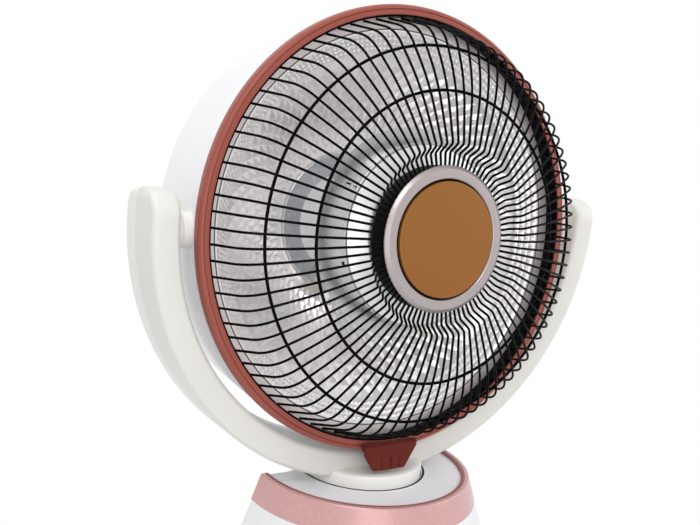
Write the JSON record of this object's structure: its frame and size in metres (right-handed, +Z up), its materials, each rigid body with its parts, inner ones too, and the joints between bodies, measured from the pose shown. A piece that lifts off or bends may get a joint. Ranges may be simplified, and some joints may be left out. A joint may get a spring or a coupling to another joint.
{
  "type": "carbon heater",
  "caption": "Round dish heater: carbon loop before a bright reflector behind a wire guard, tilting in a U yoke on a swivelling base with knobs.",
  "frame": {"origin": "on the floor under the axis of the base, at the bottom centre of the whole object", "axes": "+Z up, front of the heater towards -Y, pivot axis of the head along X"},
  "size_m": [0.441, 0.2842, 0.5762],
  "materials": {
    "white_plastic": "satin white moulding",
    "terracotta_plastic": "satin terracotta moulding",
    "rose_plastic": "pearl rose moulding",
    "latch_plastic": "brick red moulding",
    "dish_aluminium": "bright spun and embossed sheet",
    "polished_aluminium": "polished sheet",
    "black_wire": "gloss black coated wire",
    "black_plastic": "black moulding",
    "silver_ring": "satin silver",
    "bronze_disc": "bronze lacquer",
    "steel": "zinc plated",
    "ballast_iron": "bare casting",
    "quartz": "clear quartz",
    "carbon": "carbon fibre strand",
    "ceramic": "unglazed ceramic",
    "lead_sleeve": "silicone sleeve",
    "fibre": "fibre",
    "rubber_feet": "matte",
    "base_sheet": "black moulding",
    "control_plastic": "satin moulding",
    "lens": "red lens"
  },
  "bodies": {
    "base": {"base_shell": "white_plastic", "base_band": "rose_plastic", "top_plate": "white_plastic", "bottom_plate": "base_sheet", "rubber_feet": "rubber_feet", "base_screws": "steel", "ballast": "ballast_iron", "ballast_screws": "steel", "swing_motor": "steel", "heat_switch": "black_plastic", "timer_unit": "black_plastic", "swing_switch": "black_plastic", "pilot_lens": "lens", "tip_switch": "black_plastic", "cord_gland": "black_plastic", "terminal_block": "ceramic", "base_leads": "lead_sleeve"},
    "yoke": {"yoke_front": "white_plastic", "yoke_rear": "white_plastic", "yoke_screws": "steel", "swivel_foot": "white_plastic", "foot_screws": "steel", "swivel_spindle": "steel", "spindle_clip": "steel", "swing_lever": "steel"},
    "head": {"rear_housing": "white_plastic", "front_ring": "terracotta_plastic", "reflector_dish": "dish_aluminium", "guard_wires": "black_wire", "guard_inner_hoop": "black_wire", "guard_outer_hoop": "black_wire", "guard_band": "black_wire", "hub_pan": "black_plastic", "hub_ring": "silver_ring", "hub_disc": "bronze_disc", "hub_screws": "steel", "front_reflector": "polished_aluminium", "reflector_post": "polished_aluminium", "post_screw": "steel", "quartz_tube": "quartz", "carbon_filament": "carbon", "tube_end_caps": "ceramic", "thermal_cutout": "steel", "head_terminal": "ceramic", "head_leads": "lead_sleeve", "left_trunnion": "white_plastic", "right_trunnion": "white_plastic", "trunnion_screws": "steel", "friction_washers": "fibre", "pivot_bolts": "steel", "latch_pin": "steel"},
    "latch": {"guard_latch": "latch_plastic"},
    "crank": {"swing_crank": "steel"},
    "heat_control": {"heat_knob": "control_plastic"},
    "timer_control": {"timer_knob": "control_plastic"},
    "swing_control": {"swing_button": "control_plastic"},
    "tip_foot": {"tip_plunger": "control_plastic"}
  },
  "joints": [
    {"name": "swing", "type": "hinge", "parent": "base", "child": "yoke", "pos_m": [0, 0, 0.17], "axis": [0, 0, 1], "range_deg": [-32, 32]},
    {"name": "tilt", "type": "hinge", "parent": "yoke", "child": "head", "pos_m": [0, 0, 0.39], "axis": [-1, 0, 0], "range_deg": [-4, 15]},
    {"name": "latch_turn", "type": "hinge", "parent": "head", "child": "latch", "pos_m": [0, -0.04612, 0.21285], "axis": [-1, 0, 0], "range_deg": [0, 25]},
    {"name": "crank_turn", "type": "hinge", "parent": "base", "child": "crank", "pos_m": [0, -0.042, 0.14], "axis": [0, 0, 1], "continuous": true},
    {"name": "heat_turn", "type": "hinge", "parent": "base", "child": "heat_control", "pos_m": [-0.04686, -0.12874, 0.08], "axis": [0.342, 0.9397, 0], "range_deg": [0, 135]},
    {"name": "timer_turn", "type": "hinge", "parent": "base", "child": "timer_control", "pos_m": [0.04686, -0.12874, 0.08], "axis": [-0.342, 0.9397, 0], "range_deg": [0, 300]},
    {"name": "swing_press", "type": "slide", "parent": "base", "child": "swing_control", "axis": [0, 1, 0], "range_m": [0, 0.0025], "stiffness_N_per_m": 300},
    {"name": "tip_drop", "type": "slide", "parent": "base", "child": "tip_foot", "axis": [0, 0, 1], "range_m": [-0.005, 0]}
  ]
}
